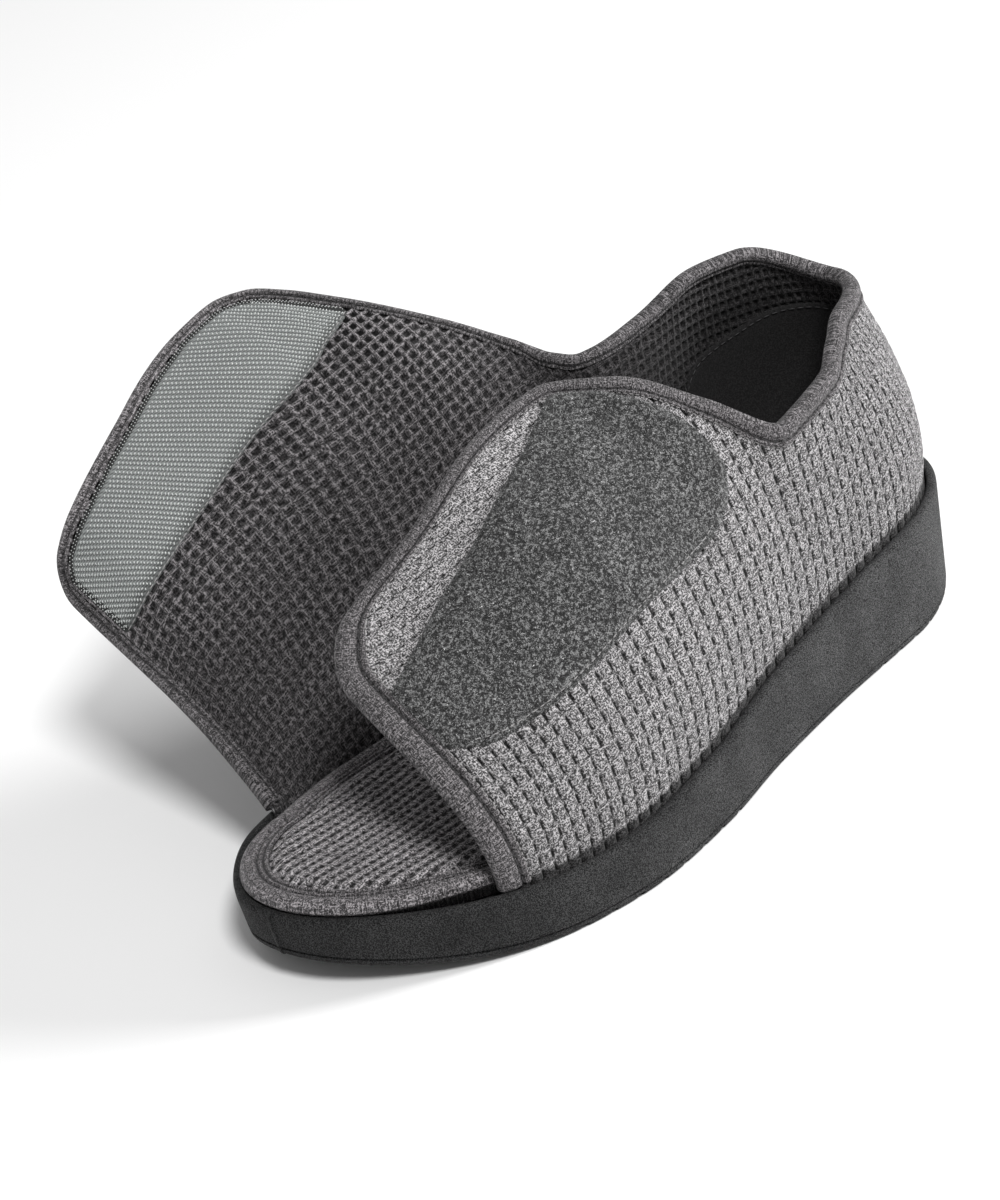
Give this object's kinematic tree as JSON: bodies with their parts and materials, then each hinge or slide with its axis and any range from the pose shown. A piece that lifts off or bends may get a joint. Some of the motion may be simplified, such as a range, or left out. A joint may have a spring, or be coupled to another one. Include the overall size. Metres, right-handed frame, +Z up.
{
  "type": "open-toe slipper",
  "caption": "Left open-toe slipper with a dark foam wedge sole, taped footbed and grey knit upper; its wide hook-and-loop wrap flap lies open on the inner side.",
  "frame": {"origin": "on the floor under the middle of the heel, on the sole's tread", "axes": "+X to the toe, +Y to the outer side of the foot, +Z up"},
  "size_m": [0.27, 0.1964, 0.124],
  "materials": {
    "sole": "moulded foam rubber, fine pebble grain, half gloss",
    "footbed": "ribbed waffle knit, matt",
    "footbed_tape": "knitted tape, stitched",
    "upper": "heathered waffle knit, matt and slightly fuzzy",
    "edge_tape": "knitted tape, rolled over the edge and stitched",
    "loop_patch": "brushed loop pile",
    "hook_strip": "woven tape with rows of small stiff hooks"
  },
  "bodies": {
    "root": {"sole": "sole", "footbed": "footbed", "footbed_tape": "footbed_tape", "upper": "upper", "edge_tape": "edge_tape", "loop_patch": "loop_patch", "hook_strip": "hook_strip"}
  },
  "joints": []
}
